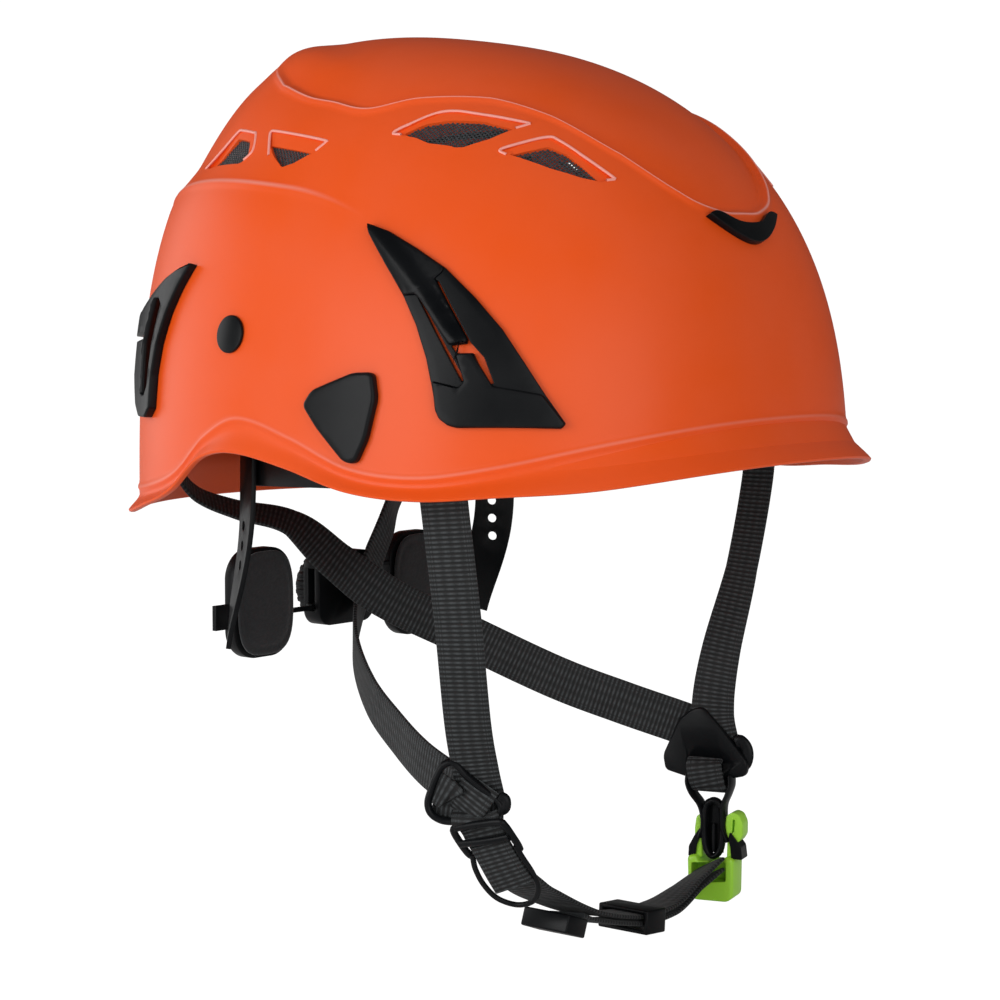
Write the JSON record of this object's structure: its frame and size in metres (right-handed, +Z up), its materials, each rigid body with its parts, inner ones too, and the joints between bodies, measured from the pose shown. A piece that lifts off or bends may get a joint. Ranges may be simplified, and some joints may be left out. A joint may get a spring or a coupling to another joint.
{
  "type": "forestry helmet",
  "caption": "Vented climbing and forestry helmet with lamp clips, ear-defender sockets, adjustable nape fitting and four-point chin harness with a quick-release buckle.",
  "frame": {"origin": "middle of the head opening, level with the temples, where the head sits", "axes": "+Z up to the crown, -Y the way the wearer faces, -X the wearer's right"},
  "size_m": [0.2212, 0.2724, 0.314],
  "materials": {
    "shell_abs": "satin moulded ABS, orange",
    "black_plastic": "fine-textured moulded nylon, black",
    "webbing": "ribbed woven polyester webbing, black",
    "vent_mesh": "fine woven insect mesh, black",
    "pad_fabric": "soft brushed lining fabric over foam",
    "green_plastic": "moulded nylon, lime green"
  },
  "bodies": {
    "helmet": {"shell": "shell_abs", "vent_mesh_right": "vent_mesh", "vent_mesh_left": "vent_mesh", "front_lamp_clip_right": "black_plastic", "front_lamp_clip_left": "black_plastic", "rear_lamp_clip_right": "black_plastic", "rear_lamp_clip_left": "black_plastic", "front_crest_clip": "black_plastic", "round_plug_right": "black_plastic", "round_plug_left": "black_plastic", "visor_plug_right": "black_plastic", "visor_plug_left": "black_plastic", "headband": "black_plastic", "brow_pad": "pad_fabric", "cradle_hangers": "black_plastic", "cradle_strap_lower": "webbing", "cradle_strap_upper": "webbing", "strap_anchors": "black_plastic", "arm_right": "black_plastic", "arm_left": "black_plastic", "front_strap_right": "webbing", "front_strap_left": "webbing", "rear_strap_right": "webbing", "rear_strap_left": "webbing", "divider_right": "black_plastic", "divider_left": "black_plastic", "tongue_strap": "webbing", "buckle_tongue": "black_plastic"},
    "nape": {"nape_housing": "black_plastic"},
    "knob": {"nape_knob": "black_plastic"},
    "wing_right": {"wing_right": "black_plastic", "wing_pad_right": "pad_fabric"},
    "wing_left": {"wing_left": "black_plastic", "wing_pad_left": "pad_fabric"},
    "chin": {"chin_strap": "webbing", "chin_strap_tail": "webbing", "tail_stop": "black_plastic", "slider_buckle": "black_plastic", "pull_ring": "black_plastic", "buckle_body": "green_plastic"},
    "keeper": {"strap_keeper": "black_plastic"},
    "lever_front": {"buckle_lever_front": "black_plastic"},
    "lever_rear": {"buckle_lever_rear": "black_plastic"}
  },
  "joints": [
    {"name": "nape_height", "type": "slide", "parent": "helmet", "child": "nape", "axis": [0, 0, 1], "range_m": [-0.012, 0]},
    {"name": "knob_turn", "type": "hinge", "parent": "nape", "child": "knob", "pos_m": [0, 0.086, -0.037], "axis": [0, -1, 0], "range_deg": [0, 120]},
    {"name": "wing_right_slide", "type": "slide", "parent": "nape", "child": "wing_right", "axis": [1, 0, 0], "range_m": [0, 0.01045]},
    {"name": "wing_left_slide", "type": "slide", "parent": "nape", "child": "wing_left", "axis": [-1, 0, 0], "range_m": [0, 0.01045]},
    {"name": "chin_strap_swing", "type": "hinge", "parent": "helmet", "child": "chin", "pos_m": [-0.06655, -0.04539, -0.1024], "axis": [-0.4512, 0.8924, 0], "range_deg": [0, 60]},
    {"name": "keeper_slide", "type": "slide", "parent": "chin", "child": "keeper", "axis": [0.9982, 0, -0.06], "range_m": [-0.003, 0.003]},
    {"name": "lever_front_press", "type": "slide", "parent": "chin", "child": "lever_front", "axis": [0, 1, 0], "range_m": [0, 0.001], "stiffness_N_per_m": 400},
    {"name": "lever_rear_press", "type": "slide", "parent": "chin", "child": "lever_rear", "axis": [0, -1, 0], "range_m": [0, 0.001], "stiffness_N_per_m": 400}
  ],
  "couplings": [
    {"joint": "knob_turn", "follows": "wing_right_slide", "rad_per_m": 200},
    {"joint": "wing_left_slide", "follows": "wing_right_slide", "ratio": 1}
  ]
}
